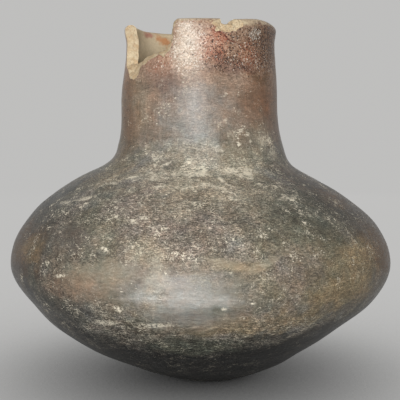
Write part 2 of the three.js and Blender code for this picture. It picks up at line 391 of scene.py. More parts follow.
def course_tree():
    """The tree that turns a section round the axis and gives the wall its handmade unevenness."""
    tree = bpy.data.node_groups.new("lay_course", "GeometryNodeTree")
    sockets = (
        ("Section", "NodeSocketGeometry", None),
        ("Ring steps", "NodeSocketInt", RING_STEPS),
        ("Closed", "NodeSocketInt", 1),
        *((name, "NodeSocketFloat", depth) for name, (depth, *_) in UNEVENNESS.items()),
        ("Outside", "NodeSocketMaterial", None),
        ("Inside", "NodeSocketMaterial", None),
    )
    for name, kind, value in sockets:
        socket = tree.interface.new_socket(name, in_out="INPUT", socket_type=kind)
        if value is not None:
            socket.default_value = value
    tree.interface.new_socket("Course", in_out="OUTPUT", socket_type="NodeSocketGeometry")
    s = Steps(tree)
    given = tree.nodes.new("NodeGroupInput").outputs
    count = s.add("GeometryNodeAttributeDomainSize", {"Geometry": given["Section"]}, component="MESH")
    columns = s.plus(given["Ring steps"], 1)
    rows = s.plus(count, given["Closed"])
    sizes = {"Size X": 1.0, "Size Y": 1.0, "Vertices X": columns, "Vertices Y": rows}
    grid = s.add("GeometryNodeMeshGrid", sizes)
    index = s.add("GeometryNodeInputIndex")
    row = s.math("ROUND", s.math("MODULO", s.math("MODULO", index, rows), count))
    column = s.math("FLOOR", s.math("DIVIDE", s.plus(index, 0.5), rows))
    turn = s.times(s.math("DIVIDE", column, given["Ring steps"]), 2 * math.pi)
    turn = s.minus(turn, math.pi)
    sine, cosine = s.math("SINE", turn), s.math("COSINE", turn)

    def from_section(value, kind="FLOAT"):
        """A value, or one that has a name, at the point that a vertex of the grid comes from."""
        if isinstance(value, str):
            value = s.add("GeometryNodeInputNamedAttribute", {"Name": value}, data_type=kind)
        inputs = {"Geometry": given["Section"], "Value": value, "Index": row}
        return s.add("GeometryNodeSampleIndex", inputs, data_type=kind, domain="POINT")

    def turned(vector, shift=0.0):
        out, _, up = s.split(vector)
        return s.combine(s.plus(s.times(out, sine), shift), s.times(out, cosine, -1.0), up)

    def uneven(name):
        """A noise that moves the wall in and out by up to its depth."""
        _, waves, detail, roughness = UNEVENNESS[name]
        if isinstance(waves, tuple):
            value = s.noise(s.vector("MULTIPLY", laid, waves), 1.0, detail, roughness)
        else:
            value = s.noise(laid, waves, detail, roughness)
        return s.times(s.math("MULTIPLY_ADD", value, 2.0, -1.0), given[name])

    place = from_section(s.add("GeometryNodeInputPosition"), "FLOAT_VECTOR")
    way = from_section("way", "FLOAT_VECTOR")
    skin, run, give, drift = (from_section(name) for name in ("skin", "run", "give", "drift"))
    laid = turned(place, drift)
    push = turned(way)
    swell, strokes, lumps, wiped = (uneven(name) for name in UNEVENNESS)
    outside = s.plus(swell, strokes, lumps)
    inside = s.minus(wiped, swell)
    amount = s.add("ShaderNodeMix", {0: skin, 2: inside, 3: outside}, data_type="FLOAT")
    moved = s.vector("ADD", laid, s.scaled(push, s.times(amount, give)))
    wall = s.add("GeometryNodeSetPosition", {"Geometry": grid, "Position": moved})
    for key, value in (("skin", skin), ("run", run)):
        inputs = {"Geometry": wall, "Name": key, "Value": value}
        wall = s.add("GeometryNodeStoreNamedAttribute", inputs, data_type="FLOAT", domain="POINT")
    joined = s.add("GeometryNodeMergeByDistance", {"Geometry": wall, "Distance": MERGE_REACH * MM})
    smooth = s.add("GeometryNodeSetShadeSmooth", {"Geometry": joined, "Shade Smooth": True})
    real = s.add("GeometryNodeRealizeInstances", (smooth,))
    clad = s.add("GeometryNodeSetMaterial", {"Geometry": real, "Material": given["Outside"]})
    face_skin = s.add("GeometryNodeInputNamedAttribute", {"Name": "skin"}, data_type="FLOAT")
    shares = (face_skin, INSIDE_SHARE)
    is_inside = s.add("FunctionNodeCompare", shares, data_type="FLOAT", operation="LESS_THAN")
    lining = {"Geometry": clad, "Selection": is_inside, "Material": given["Inside"]}
    lined = s.add("GeometryNodeSetMaterial", lining)
    end = tree.nodes.new("NodeGroupOutput")
    tree.links.new(lined, end.inputs[0])
    return tree


def plain_copy(piece, name):
    """The evaluated object as a plain mesh object, in place of the one that it came from."""
    depsgraph = bpy.context.evaluated_depsgraph_get()
    mesh = bpy.data.meshes.new_from_object(
        piece.evaluated_get(depsgraph), preserve_all_data_layers=True, depsgraph=depsgraph
    )
    old = piece.data
    bpy.data.objects.remove(piece)
    bpy.data.meshes.remove(old)
    mesh.name = name
    return new_object(name, mesh)


def lay_course(tree, name, low, high, outside, inside):
    """One course of the wall with its outside and inside materials."""
    piece = section_object(name + "_section", low, high)
    modifier = piece.modifiers.new("lay", "NODES")
    modifier.node_group = tree
    values = {"Closed": 0 if low == 0 else 1, "Outside": outside, "Inside": inside}
    for item in tree.interface.items_tree:
        if item.in_out == "INPUT" and item.name in values:
            modifier[item.identifier] = values[item.name]
    piece = plain_copy(piece, "skin_" + name)
    # The tree leaves an empty first slot, which goes so that the outside is slot 0 and the inside slot 1
    if piece.data.materials[0] is None:
        piece.data.materials.pop(index=0)
    return piece


# Places where a hand pressed the wall in: angle from the front, height, half widths in degrees and in
# millimetres, and how far out the wall moves
HAND_PRESSES = (
    (-92, 109.5, 40, 8, -1.5),
    (92, 12, 45, 8, -1.6),
)
# Places where the lip is higher: angle, half width in degrees and rise in millimetres
LIP_RISES = ((50, 26, 1.0), (-100, 26, 1.0))
LIP_RISE_FROM = 158
# The least radius that is divided by, for points on the axis
LEAST_RADIUS = 1e-6


def turn_between(angle, other):
    """How many degrees lie between two angles, the short way round."""
    return np.abs((angle - other + 180) % 360 - 180)


def swelling(distance):
    """A smooth hill that is 1 at no distance and 0 from a distance of 1."""
    return np.clip(1 - distance**2, 0, 1) ** 2


def handle(mesh):
    """Moves the points of one course as the potter's hands left them."""
    points = np.empty(len(mesh.vertices) * 3)
    mesh.vertices.foreach_get("co", points)
    points = points.reshape(-1, 3) / MM
    angle = np.degrees(np.arctan2(points[:, 0], -points[:, 1]))
    for turn, height, half_turn, half_height, out in HAND_PRESSES:
        across = turn_between(angle, turn) / half_turn
        amount = out * swelling(np.hypot(across, (points[:, 2] - height) / half_height))
        radius = np.maximum(np.hypot(points[:, 0], points[:, 1]), LEAST_RADIUS)
        points[:, :2] *= (1 + amount / radius)[:, None]
    share = np.clip((points[:, 2] - LIP_RISE_FROM) / (LIP_TOP - LIP_RISE_FROM), 0, 1)
    for turn, half_turn, rise in LIP_RISES:
        across = turn_between(angle, turn) / half_turn
        points[:, 2] += rise * share * swelling(across)
    mesh.vertices.foreach_set("co", (points * MM).ravel())
    mesh.update()


# The broken rim, as in the frame: pairs of an angle from the front and a depth below the lip's top,
# on the outside and on the inside of the wall

SHERD_BREAK = (
    ((-77.5, 15), (-72, 14)),
    ((-73.5, 19.5), (-71, 18.4)),
    ((-66.5, 22.5), (-69, 18.9)),
    ((-61, 26), (-66, 19)),
    ((-55, 26.5), (-61.5, 18.5)),
    ((-51, 25.9), (-58, 17.9)),
    ((-49, 21.8), (-55, 17.2)),
    ((-43, 20), (-50, 16.2)),
    ((-37, 18), (-44, 15.5)),
    ((-31, 16.5), (-38, 15)),
    ((-27.6, 17.8), (-33.5, 14.3)),
    ((-22.2, 15.4), (-27.5, 12.8)),
    ((-19.5, 11), (-24, 9)),
    ((-18.4, 4), (-23.6, 4)),
    ((-17, 1.4), (-22, 1.4)),
    ((-14.2, -0.2), (-19.4, -0.2)),
)
RIM_NOTCH = (
    ((13.6, -0.8), (14.6, -0.8)),
    ((15.4, 1.9), (16.4, 1.7)),
    ((18.2, 3), (18.8, 2.6)),
    ((22, 2.8), (21.8, 2.4)),
    ((25, 1), (24.6, 0.8)),
    ((29, -0.8), (28, -0.8)),
)
SCAR_ANGLE = 20
SCAR_HALF_WIDTH = 15.5
SCAR_HEIGHT = 7.5
SCAR_DEPTH = 1.6
CUTTER_REACH = 12
BREAK_STEP = 0.6
BREAK_LAYERS = 14
BREAK_ROUGHNESS = 0.6
SCAR_ROUGHNESS = 0.6
BREAK_SEED = 4
BROKEN_SLOT = 2
# The steps of a broken face: their sizes in millimetres and their shares of its roughness
GRIT = ((3.1, 1.0), (1.4, 0.7), (0.8, 0.4))
# How far through the wall the rough layers of a break go, and the last layer, as shares of the wall
BREAK_THROUGH = 1.4
BREAK_BEYOND = 2
# How near the top of a cutter, in millimetres, its points are left smooth
SMOOTH_TOP = 0.5
# The flake scar's ball: its radius in scar depths, and how often its faces are divided
SCAR_RADIUS = 3
SCAR_DIVISIONS = 6


def neck_places(angle, radius, depth):
    """Points of the neck at angles from the front, radii and depths below the lip's top."""
    turn = np.radians(angle)
    height = LIP_TOP - depth
    return np.stack([radius * np.sin(turn) + drift_at(height), -radius * np.cos(turn), height], axis=-1)


def rough(point, amount):
    """Pushes a point about as broken, gritty clay lies: in some large steps and many small ones."""
    place = Vector(point)
    push = Vector()
    for size, share in GRIT:
        push += share * noise.noise_vector(place / size)
    return place + amount * push


def cutter_object(name, points, faces):
    """A closed cutter, facing outwards, whose faces take the material slot of the bare clay."""
    mesh = bpy.data.meshes.new(name)
    mesh.from_pydata([tuple(Vector(point) * MM) for point in points], [], faces)
    shape = bmesh.new()
    shape.from_mesh(mesh)
    bmesh.ops.recalc_face_normals(shape, faces=shape.faces)
    for face in shape.faces:
        face.material_index = BROKEN_SLOT
        face.smooth = True
    shape.to_mesh(mesh)
    shape.free()
    return new_object(name, mesh)


def break_cutter(name, edge):
    """A closed solid above a broken edge, with a rough face where it cuts the wall."""
    edge = np.array(edge, float)
    raised = edge[[0, -1]].copy()
    raised[:, :, 1] = -CUTTER_REACH
    edge = np.concatenate([raised[:1], edge, raised[1:]])
    scale = np.array([math.radians(1) * LIP_RADIUS, 1])
    at = np.concatenate([[0], np.cumsum(np.hypot(*(np.diff(edge[:, 0], axis=0) * scale).T))])
    steps = np.linspace(0, at[-1], int(at[-1] / BREAK_STEP) + 1)
    outside, inside = (
        np.column_stack([np.interp(steps, at, edge[:, side, axis]) for axis in (0, 1)]) for side in (0, 1)
    )
    inner, outer = LIP_RADIUS - NECK_WALL, LIP_RADIUS
    through = np.linspace(0, BREAK_THROUGH, BREAK_LAYERS + 1)
    shares = [0, *through, BREAK_BEYOND]
    radii = [inner - CUTTER_REACH, *(inner + through * NECK_WALL), outer + CUTTER_REACH]
    layers = [inside + (outside - inside) * share for share in shares]
    points = []
    for layer, radius in zip(layers, radii):
        for place, depth in zip(neck_places(layer[:, 0], radius, layer[:, 1]), layer[:, 1]):
            points.append(rough(place, BREAK_ROUGHNESS if depth > SMOOTH_TOP - CUTTER_REACH else 0))
    count = len(steps)
    faces = []
    for layer in range(len(layers) - 1):
        for step in range(count):
            a, b = layer * count + step, layer * count + (step + 1) % count
            faces.append((a, b, b + count, a + count))
    for layer in (0, len(layers) - 1):
        border = [Vector((*(point * scale), 0)) for point in layers[layer]]
        faces += [tuple(layer * count + v for v in face) for face in tessellate_polygon([border])]
    return cutter_object(name, points, faces)


def scar_cutter(name):
    """A flattened ball with a rough skin, which scoops the flake scar out of the lip's outside."""
    radial = SCAR_RADIUS * SCAR_DEPTH
    share = math.sqrt(1 - ((radial - SCAR_DEPTH) / radial) ** 2)
    ball = bmesh.new()
    bmesh.ops.create_icosphere(ball, subdivisions=SCAR_DIVISIONS, radius=1)
    turn = math.radians(SCAR_ANGLE)
    centre = Vector(neck_places(SCAR_ANGLE, LIP_RADIUS + radial - SCAR_DEPTH, 0))
    size = (SCAR_HALF_WIDTH / share, radial, SCAR_HEIGHT / share)
    points = []
    for vertex in ball.verts:
        x, y, z = (c * part for c, part in zip(vertex.co, size))
        right = x * math.cos(turn) - y * math.sin(turn)
        back = x * math.sin(turn) + y * math.cos(turn)
        points.append(rough(centre + Vector((right, back, z)), SCAR_ROUGHNESS))
    faces = [tuple(vertex.index for vertex in face.verts) for face in ball.faces]
    ball.free()
    return cutter_object(name, points, faces)


def cut_away(piece, cutters):
    """Takes the cutters out of a piece and leaves a plain mesh."""
    for cutter in cutters:
        modifier = piece.modifiers.new(cutter.name, "BOOLEAN")
        modifier.operation = "DIFFERENCE"
        modifier.solver = "MANIFOLD"
        modifier.object = cutter
    return plain_copy(piece, piece.name)


# The clay's colours, with painted highlights and painted shade among them
WARM_GREY = "#8b8071"
OLIVE_GREY = "#7d7868"
MAUVE_GREY = "#80746d"
BLUE_GREY = "#75797a"
LOWER_GREY = "#6a655b"
# Soot towards the foot, made darker as painted shade of the underside
SOOT_AND_SHADE = "#252422"
NECK_BROWN = "#9d8775"
CREAM = "#e6dcc6"
TAN = "#ada18a"
OCHRE = "#a38e6c"
RUST = "#8e5a42"
CHARCOAL = "#34322f"
# Colours painted on as highlights: a soft sheen and a brighter highlight
PAINTED_SHEEN = "#a9a7a1"
PAINTED_HIGHLIGHT = "#cdcac3"
PALE_GREY = "#aea48f"
PLUM = "#6a5557"
GREENISH = "#66685a"
UMBER = "#6b5033"
SIENNA = "#8a5d3c"
TERRACOTTA = "#aa866c"
PALE_PINK = "#e2d5c3"
SPECK_WHITE = "#ece2d4"
SPECK_RED = "#94503c"
SPECK_DARK = "#3d302b"
DEEP_PINK = "#886852"
ROSE = "#d8a28a"
CRACK_RED = "#5c2c24"
BUFF = "#c2a48c"
OLIVE_BROWN = "#85785f"
BARE_CLAY = "#c6b597"
INSIDE_GREY = "#bcaa8c"
INSIDE_PALE = "#d2c0a2"
ORANGE_STAIN = "#b97a4a"
PINK_STAIN = "#b0796a"
BARE_DEEP = "#b89f7e"
GRIT_DARK = "#6e5c4b"
GRIT_RED = "#a9745a"

# Tints of the fired body: the colour, its strength, the noise that it lies in (the size of the patches in
# millimetres, detail, roughness and shift), and where in the noise it begins and is full
BODY_TINTS = (
    (OLIVE_GREY, 1.0, 34, 2, 0.55, 0, 0.36, 0.64),
    (MAUVE_GREY, 0.7, 21, 3, 0.6, 40, 0.45, 0.7),
    (BLUE_GREY, 0.55, 27, 2, 0.55, 90, 0.48, 0.72),
)
# Tints by height: the colour, and the heights where it begins and is full. Towards the foot the clay turns
# greyer and darker, partly soot and partly painted shade of the underside
LEVEL_TINTS = ((NECK_BROWN, 108, 140), (LOWER_GREY, 46, 32), (SOOT_AND_SHADE, 43, 27))

# Clouds on the skin. Each has its place as an angle from the front and a height, its half widths in
# degrees and in millimetres, and then, unless they are as usual, how ragged its edge is and how far it
# climbs for each degree. Stains come with a colour and a strength, other clouds with a strength alone.
# Among the stains are painted highlights and painted shade, marked where they stand.
CLOUD_SIZES = ("At angle", "At height", "Half turn", "Half height", "Ragged", "Climb")
USUAL_SIZES = {"Ragged": 0.8}
STAINS = (
    (OLIVE_BROWN, 0.5, 46, 64, 30, 24, 0.9),
    (TAN, 0.6, -15, 75, 6, 6, 0.5, -0.5),
    (TAN, 0.75, -11, 61, 3.6, 13, 0.4, 0.05),
    (TAN, 0.6, -12, 55, 3, 7, 0.4, 1),
    # A faint painted highlight along the fan
    (PAINTED_HIGHLIGHT, 0.2, -11, 61, 4, 12, 0.5, 0.05),
    (TAN, 0.5, -27, 65, 13, 6, 0.7, 0.2),
    (TAN, 0.6, 7.5, 70.2, 6.5, 2, 0.4, -0.4),
    (OCHRE, 0.35, 11, 69, 9, 2, 0.4),
    (TAN, 0.6, 16.5, 69.9, 6, 1.9, 0.4, 0.55),
    (OCHRE, 0.5, 16, 44, 22, 6, 0.8, 0.1),
    (TERRACOTTA, 0.35, -36, 58, 14, 7, 0.8, 0.1),
    (OCHRE, 0.6, 54, 67, 16, 9),
    (OCHRE, 0.6, 41, 55, 14, 7),
    # Painted highlights on the girth and just below it, and down the middle of the neck to its foot
    (PAINTED_SHEEN, 0.4, -4, 57, 15, 8, 0.6),
    (PAINTED_HIGHLIGHT, 0.65, -4.5, 55.8, 12.5, 3.2, 0.7, -0.03),
    (PAINTED_SHEEN, 0.4, -6, 48, 14, 6),
    (PAINTED_SHEEN, 0.5, -6, 130, 24, 24, 0.6),
    (PAINTED_SHEEN, 0.9, 2, 115, 13, 11, 0.7),
    (PAINTED_HIGHLIGHT, 0.35, 3, 112, 11, 8, 0.9),
    # Pale grey on the neck's sweep: partly pale earth, partly a painted highlight running down from the
    # neck's highlight
    (PALE_GREY, 0.65, 2, 108, 44, 12, 0.9),
    (PALE_GREY, 0.5, 22, 95, 14, 8, 0.9),
    (PALE_GREY, 0.2, 0, 93, 30, 9, 0.9),
    (PALE_GREY, 0.5, 46, 121, 14, 10, 0.9),
    # The umber and charcoal clouds far round at the sides, at about 60 degrees from the front and beyond,
    # darken the limbs: partly fire clouds, partly painted shade
    (UMBER, 0.85, 78, 70, 22, 26),
    (UMBER, 0.7, 60, 94, 18, 14, 0.5),
    (CHARCOAL, 0.85, -98, 72, 46, 40, 0.3),
    (CHARCOAL, 0.8, -52, 42, 26, 16, 0.8, -0.1),
    (CHARCOAL, 0.85, 54, 32, 22, 13, 0.8, 0.2),
    (CHARCOAL, 0.7, 88, 90, 42, 24, 0.3),
    (CHARCOAL, 0.6, 55, 93, 22, 14),
    (CHARCOAL, 0.35, 76, 50, 18, 16),
    (GREENISH, 0.45, 38, 88, 20, 13),
    (CHARCOAL, 0.25, 34, 90, 20, 12),
    (CHARCOAL, 0.6, -64, 72, 34, 30, 0.3),
    (UMBER, 0.5, -66, 70, 18, 11),
    (OCHRE, 0.3, -57, 70, 8, 6),
    (UMBER, 0.6, 64, 67, 11, 13),
    (OCHRE, 0.5, 50, 69.5, 7, 6),
    (UMBER, 0.45, 64, 92, 12, 5),
    (OLIVE_BROWN, 0.5, -52, 108, 16, 9),
    (GREENISH, 0.5, -2, 33, 16, 6, 0.7),
    (SIENNA, 0.5, 45, 141, 16, 18, 0.7),
    (SIENNA, 0.4, 68, 140, 20, 22, 0.7),
    (SIENNA, 0.5, -64, 148, 18, 9, 0.7),
    (SIENNA, 0.3, -56, 128, 16, 12),
    (PLUM, 0.15, -22, 146, 14, 12, 0.7),
    (TAN, 0.4, -47, 138, 12, 18, 0.7),
    (TERRACOTTA, 0.6, -10, 160, 40, 14),
    # Pale pink on the neck's worn top: partly its pale slip, partly a painted highlight
    (PALE_PINK, 0.62, -10, 162, 12, 13, 0.7),
    (PALE_PINK, 0.35, 4, 161, 8, 9),
    (RUST, 0.3, 16, 163, 16, 7, 0.8, -0.2),
    (ROSE, 0.35, 11, 164, 14, 9, 0.9),
    (RUST, 0.4, 52, 160, 18, 10),
    (SIENNA, 0.7, 35, 158, 9, 9),
    (UMBER, 0.5, 40, 154, 12, 9, 0.9),
    (UMBER, 0.75, 58, 162, 18, 16, 1),
    # Umber on the neck's left edge: partly a stain, partly painted shade
    (UMBER, 0.4, -62, 130, 16, 22, 0.9),
    (PLUM, 0.5, 22, 153.5, 24, 5, 1),
    (PLUM, 0.3, -30, 150, 16, 8, 1),
)
# Where pale earth is thick
EARTH = (
    (0.85, 6, 103, 46, 8, 0.9),
    (0.4, -30, 110, 16, 8, 0.9),
    (0.15, -32, 88, 14, 8, 0.9),
    (0.8, 34, 122, 26, 9, 0.9),
    (0.6, 34, 90, 10, 7, 0.9),
    (0.5, -50, 93, 16, 5, 0.9),
)
# Where the burnish of the girth is smooth
SMOOTH = (
    (0.9, -20, 62, 24, 13, 0.6),
    (1, -2, 54, 18, 17, 0.6),
    (0.6, -40, 76, 18, 8, 0.9),
    (0.9, -80, 62, 30, 22, 0.6),
    (0.9, 76, 62, 26, 22, 0.6),
    (0.45, 42, 60, 36, 26),
    (0.9, 7.5, 70.2, 7.5, 2.2, 0.4, -0.4),
    (0.9, 16.5, 69.9, 7, 2.2, 0.4, 0.55),
)
# Lumps and smears of earth that stand out from the rest
LUMPS = (
    (0.9, -21.4, 50.7, 1.3, 1.5),
    (0.7, -39, 62.3, 2.4, 0.8, 0.8, 0.25),
    (0.7, -26, 74.5, 1.4, 1.1, 0.8, -0.5),
    (0.7, -21, 86, 1.7, 0.8),
    (0.6, 6, 52.2, 0.8, 0.8, 0.6),
    (0.6, 11, 47.6, 0.7, 0.8, 0.6),
    (0.6, -28, 42.6, 4.5, 1.8, 1.5, 0.1),
    (0.6, -12, 43.8, 5.5, 1.2, 1.5, 0.1),
    (0.8, -2.5, 104.5, 5, 1.3, 1.2),
    (0.8, 16, 106, 4.5, 1.7, 1.2),
    (0.7, 27, 105.5, 5, 1.1, 1.2),
    (0.7, 6, 99.5, 6, 0.7, 0.9, -0.25),
    (0.7, -20, 108.5, 2.4, 0.8, 1.2, 0.3),
    (0.6, -29, 112, 2.2, 1.6, 1.6),
    (0.6, -40, 100, 2.2, 0.7, 1.2),
    (0.7, -46, 93.5, 4.5, 0.9, 1, 0.25),
    (0.6, -56, 91, 3.5, 0.9, 1, 0.2),
    (0.6, 33, 94, 4, 0.8, 1, 0.1),
    (0.3, 17, 128.5, 1.8, 1.4, 1.5),
    (0.2, 22, 121, 2.6, 3.4, 2),
    (0.35, 46, 119, 4, 3.6, 2),
    (0.35, 55, 113, 4.5, 3, 2),
)
# Stains on the far side of the neck's inside, whose angles are measured as on the outside
INSIDE_STAINS = (
    (PINK_STAIN, 0.85, -124, 173.6, 8, 1.8, 0.7),
    (ORANGE_STAIN, 0.75, -143, 171, 9, 2.6, 1.2, 0.25),
    (ORANGE_STAIN, 0.25, -153, 168, 9, 5, 1.2, 0.3),
)
# Where the slip has spalled in pale, red and dark grains and specks
WHITE_SPECKS = (
    (0.6, -9, 160, 13, 16, 0.6),
    (0.9, 44, 169, 6, 3, 0.6, 0.1),
    (0.1, -26, 154, 12, 6),
    (0.1, 40, 155, 26, 12),
)
RED_SPECKS = (
    (0.8, 14, 167.8, 8, 2.6, 1, -0.35),
    (0.5, 8, 161, 14, 7),
    (0.4, 38, 158, 14, 8),
    (0.3, -34, 154, 20, 8),
)
DARK_SPECKS = (
    (1, 20, 155, 17, 7, 0.8, -0.1),
    (0.9, 56, 163, 22, 16),
    (0.35, 24, 160, 22, 18),
)
# A dark crack below the flake scar
CRACKS = (
    (0.8, 12.5, 169.2, 4.5, 0.5, 0.4, -0.18),
    (0.8, 18.5, 167.2, 3, 0.5, 0.4, -0.7),
    (0.7, 23, 165.2, 4.5, 0.5, 0.4, -0.25),
)
# Bare clay along the lip, beside the flake scar
CREST_SCAR = (33, 173.8, 12, 1.8, 1.0)


def plain_material(name, roughness, specular):
    """A new material with its shader's plain values set, and what adds nodes to it."""
    material = bpy.data.materials.new(name)
    material.use_nodes = True
    shader = material.node_tree.nodes["Principled BSDF"]
    shader.inputs["Roughness"].default_value = roughness
    shader.inputs["Specular IOR Level"].default_value = specular
    return material, Steps(material.node_tree), shader


def finish_material(s, shader, colour, relief, depth):
    """Gives a shader its colour, and a relief whose depth is in millimetres."""
    s.tree.links.new(colour, shader.inputs["Base Color"])
    bump = s.add("ShaderNodeBump", {"Strength": 1.0, "Distance": depth * MM, "Height": relief})
    s.tree.links.new(bump, shader.inputs["Normal"])


def place_on_piece(s):
    """The place in millimetres, the angle from the front in degrees and the height."""
    place = s.scaled(s.add("ShaderNodeTexCoord", out="Object"), 1 / MM)
    x, y, height = s.split(place)
    angle = s.times(s.math("ARCTAN2", x, s.times(y, -1.0)), 180 / math.pi)
    return place, angle, height


# How far the noise pushes a cloud's edge, and how far from the middle, in half widths, a cloud ends and
# how near it is full
CLOUD_FRAY = 2.5
CLOUD_END = 1.35
CLOUD_FULL = 0.35


def cloud_group():
    """A node group for one cloud: a ragged, soft-edged oval at an angle and a height."""
    tree = bpy.data.node_groups.new("cloud", "ShaderNodeTree")
    for name in ("Angle", "Height", "Fray") + CLOUD_SIZES:
        socket = tree.interface.new_socket(name, in_out="INPUT", socket_type="NodeSocketFloat")
        socket.default_value = USUAL_SIZES.get(name, 0.0)
    tree.interface.new_socket("Share", in_out="OUTPUT", socket_type="NodeSocketFloat")
    s = Steps(tree)
    given = tree.nodes.new("NodeGroupInput").outputs
    turn = s.minus(given["Angle"], given["At angle"])
    rise = s.minus(s.minus(given["Height"], given["At height"]), s.times(turn, given["Climb"]))
    across = s.math("DIVIDE", turn, given["Half turn"])
    up = s.math("DIVIDE", rise, given["Half height"])
    far = s.math("SQRT", s.plus(s.times(across, across), s.times(up, up)))
    fray = s.swing(given["Fray"], s.times(given["Ragged"], CLOUD_FRAY))
    share = s.span(s.plus(far, fray), CLOUD_END, CLOUD_FULL)
    end = tree.nodes.new("NodeGroupOutput")
    tree.links.new(share, end.inputs[0])
    return tree


def cloud_share(s, cloud, angle, height, fray, sizes):
    """How much of one cloud, with its sizes as in the tables, lies at an angle and a height."""
    node = s.tree.nodes.new("ShaderNodeGroup")
    node.node_tree = cloud
    for key, value in (("Angle", angle), ("Height", height), ("Fray", fray)):
        s.tree.links.new(value, node.inputs[key])
    for key, value in zip(CLOUD_SIZES, sizes):
        node.inputs[key].default_value = value
    return node.outputs[0]


# The direction in which the skin's noises are shifted
SHIFT_WAY = (1, 0.7, 1.3)
STROKE_WANDER = 6
LEVEL_FRAY = 22
# Where the worn top of the neck begins and is full, where the neck begins and is full, and how ragged
# both edges are, in millimetres
WORN_TOP = (144, 160)
WORN_TOP_FRAY = 24
NECK_FOOT = (100, 124)
NECK_FOOT_FRAY = 18
# How much of its liveliness the skin loses where it is smooth
NECK_CALM = 0.67
GIRTH_CALM = 0.84
# Redder and bluer clay, and the swings of brightness, all in doublings
RED_SWING = 0.55
BLUE_SWING = -0.3
BLOTCH_SWING = 2.7
GRAIN_SWING = 5.2
MOTTLE_SWING = 2.4
FINE_SWING = 5.6
BROAD_SWING = 0.8
UPRIGHT_SWING = 1.5
TONE_SHIFT = -0.65
# How many waves of the neck's upright strokes there are in a millimetre
UPRIGHT_WAVES = (1.1, 1.1, 0.07)
# The share of the speckle that is left on the worn top
TOP_SPECKLE = 0.5
# Ranges of height, with the strength at the start and at the end of each
LOW_SPECKLE = (52, 40, 1.0, 1.35)
LOW_STROKES = (50, 34, 1.2, 5.0)
LOW_EARTH = (20, 56, 0.3, 1.0)
# How much several things add to the thickness of the earth, and how much the worn top takes from it
PATCHY_SWING = 0.78
EARTH_THICKNESS = 0.1
SMOOTH_THICKNESS = -0.07
NECK_THICKNESS = -0.032
TOP_THINNESS = 0.2
# Marks of earth, as dabs, smears and small flecks: the length, width, shift, detail and roughness of their
# noise, the edge that the noise has to rise over, how much of the thickness lowers that edge, how far over
# it a mark is full, and the strength
EARTH_MARKS = (
    ((3.6, 0.8, 3, 5.0, 0.78), 0.67, 1.0, 0.035, 0.85),
    ((8, 1.7, 29, 5.0, 0.74), 0.72, 1.3, 0.03, 0.65),
    ((1.3, 0.6, 11, 3.0, 0.75), 0.64, 0.8, 0.08, 0.85),
)
# Marks of soot, in the same way, but here the patches of earth raise the edge
SOOT_MARKS = ((2.2, 1.0, 47, 3.0, 0.75), 0.6, 0.4, 0.1, 0.55)
# Curls cut into the skin: their sizes and shifts, how near its middle the noise is where a curl begins and
# is full, the size of the stretches that are left of it, and its strength
CURLS = ((4.4, 0.5), (3.0, 80), (2.1, 130))
CURL_WIDTH = (0.02, 0.004)
CURL_STRETCH = 1.8
CURL_STRENGTH = 0.7
# Where several things begin in their noises and are full
STREAKS = (0.4, 0.62)
CURL_AREAS = (0.49, 0.63)
CURL_STRETCHES = (0.5, 0.58)
LUMP_GRAIN = (0.42, 0.54)
PALE_GRAINS = (0.39, 0.64)
# Grains of the worn top: how much of it they cover, how that changes where pale specks gather, how red they
# get, and how pale and dark specks shift them
GRAIN_SHARE = 0.56
GRAIN_SHARE_IN_WHITE = -0.45
GRAIN_REDNESS = 0.7
WHITE_SHIFT = 0.2
DARK_SHIFT = -0.13
# Single specks: the colour, the clouds that they gather in, and the strength
SPECKS = (
    (SPECK_RED, RED_SPECKS, 0.5),
    (SPECK_DARK, DARK_SPECKS, 0.85),
    (SPECK_WHITE, WHITE_SPECKS, 0.5),
)
# How many specks there could be along a millimetre, the noise that shakes them, and the chance of each
SPECK_SCALES = (1.7, 2.8)
SPECK_SHAKE = 1.3
SPECK_CHANCE = 0.025
SPECK_CHANCE_IN_CLOUD = 0.22
SPECK_REACH = 0.03
# The worn crest of the lip: the heights where bare clay begins and is full, how ragged it is, and strength
CREST = (174.0, 175.0)
CREST_FRAY = 7.0
CREST_STRENGTH = 0.6


